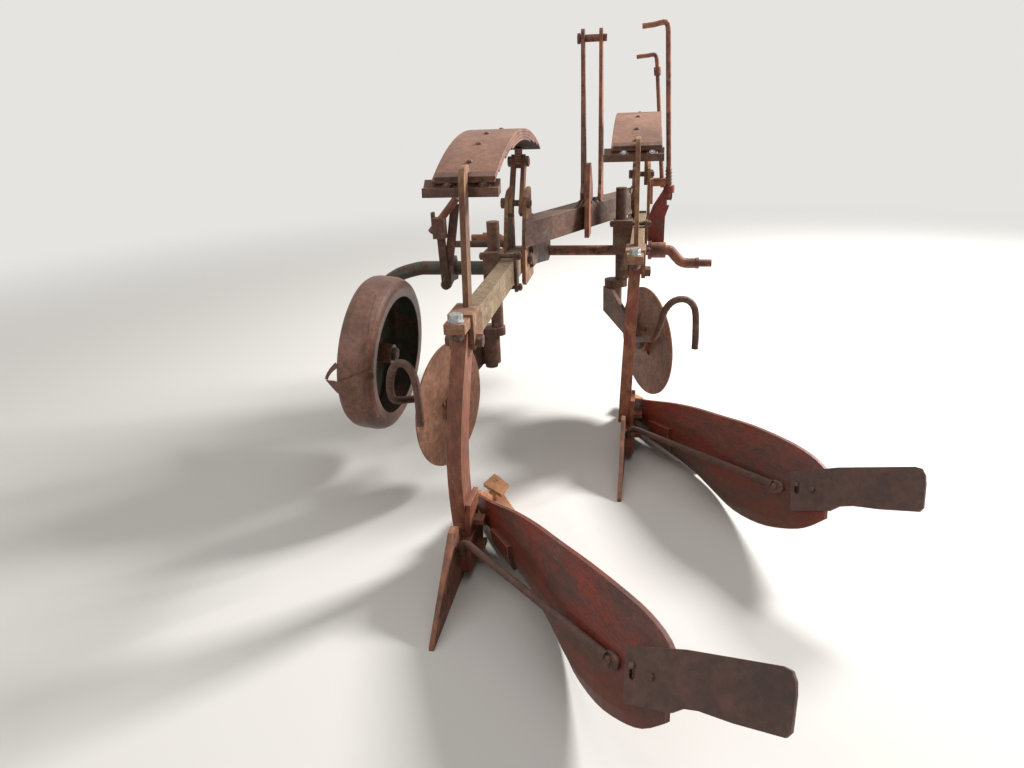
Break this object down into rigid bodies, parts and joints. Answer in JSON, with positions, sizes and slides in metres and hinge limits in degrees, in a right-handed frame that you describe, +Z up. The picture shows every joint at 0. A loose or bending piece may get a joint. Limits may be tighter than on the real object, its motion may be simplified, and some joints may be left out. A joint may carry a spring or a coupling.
{
  "type": "mounted moldboard plough",
  "caption": "Two-furrow mounted moldboard plough with leaf-spring stone release, disc coulters, depth wheel and three-point headstock, worn red paint and rust.",
  "frame": {"origin": "on the ground plane, below the middle of the plough's bounding box", "axes": "+Y is the direction of travel, +X to the right seen from behind, +Z up"},
  "size_m": [1.6298, 2.4189, 1.3601],
  "materials": {
    "red_paint": "worn",
    "ochre_paint": "worn",
    "green_paint": "worn",
    "dark_paint": "worn",
    "rusted_steel": "rusted",
    "bare_steel": "rusted",
    "galvanised": "zinc plated"
  },
  "bodies": {
    "frame": {"main_tube": "dark_paint", "rear_bracket": "dark_paint", "front_bracket": "dark_paint", "rear_bracket_bolts": "rusted_steel", "front_bracket_bolts": "rusted_steel", "hangers": "dark_paint", "mast_bars": "rusted_steel", "mast_pin": "bare_steel", "mast_gusset": "dark_paint", "cross_shaft": "rusted_steel", "shaft_lever": "red_paint", "level_screw": "rusted_steel", "width_screw": "rusted_steel", "rear_beam": "ochre_paint", "front_beam": "ochre_paint", "rear_head": "ochre_paint", "front_head": "ochre_paint", "rear_head_bolt": "galvanised", "front_head_bolt": "galvanised", "rear_leg": "red_paint", "front_leg": "red_paint", "rear_frog": "rusted_steel", "front_frog": "rusted_steel", "rear_share": "bare_steel", "front_share": "bare_steel", "rear_shin": "bare_steel", "front_shin": "bare_steel", "rear_moldboard": "red_paint", "front_moldboard": "red_paint", "rear_landside": "bare_steel", "front_landside": "bare_steel", "rear_tail_piece": "dark_paint", "front_tail_piece": "dark_paint", "rear_stay": "rusted_steel", "front_stay": "rusted_steel", "rear_spring": "rusted_steel", "front_spring": "rusted_steel", "rear_spring_clip": "rusted_steel", "front_spring_clip": "rusted_steel", "rear_pull_bar": "ochre_paint", "front_pull_bar": "ochre_paint", "rear_strut": "ochre_paint", "front_strut": "ochre_paint", "rear_stem": "rusted_steel", "front_stem": "rusted_steel", "rear_stem_clamp": "rusted_steel", "front_stem_clamp": "rusted_steel", "wheel_arm": "green_paint", "wheel_bracket": "rusted_steel", "wheel_lever": "rusted_steel", "wheel_link": "rusted_steel", "screw_bar": "rusted_steel", "wheel_screw": "rusted_steel"},
    "rear_coulter": {"rear_coulter_arm": "rusted_steel", "rear_hook_rod": "rusted_steel"},
    "front_coulter": {"front_coulter_arm": "rusted_steel", "front_hook_rod": "rusted_steel"},
    "rear_disc_body": {"rear_disc": "bare_steel"},
    "front_disc_body": {"front_disc": "bare_steel"},
    "wheel_body": {"wheel": "rusted_steel"}
  },
  "joints": [
    {"name": "wheel_spin", "type": "hinge", "parent": "frame", "child": "wheel_body", "pos_m": [-0.666, 0.093, 0.385], "axis": [0.9942, -0.0556, -0.0924], "continuous": true},
    {"name": "rear_coulter_swing", "type": "hinge", "parent": "frame", "child": "rear_coulter", "pos_m": [-0.331, 0.201, 0.4], "axis": [0, 0, 1], "range_deg": [-14.5, 45.5]},
    {"name": "front_coulter_swing", "type": "hinge", "parent": "frame", "child": "front_coulter", "pos_m": [0.042, 0.733, 0.424], "axis": [0, 0, 1], "range_deg": [-6, 3]},
    {"name": "rear_disc_spin", "type": "hinge", "parent": "rear_coulter", "child": "rear_disc_body", "pos_m": [-0.40716, -0.07363, 0.286], "axis": [0.9636, -0.2672, 0], "continuous": true},
    {"name": "front_disc_spin", "type": "hinge", "parent": "front_coulter", "child": "front_disc_body", "pos_m": [0.17139, 0.47906, 0.31], "axis": [0.891, 0.454, 0], "continuous": true}
  ]
}
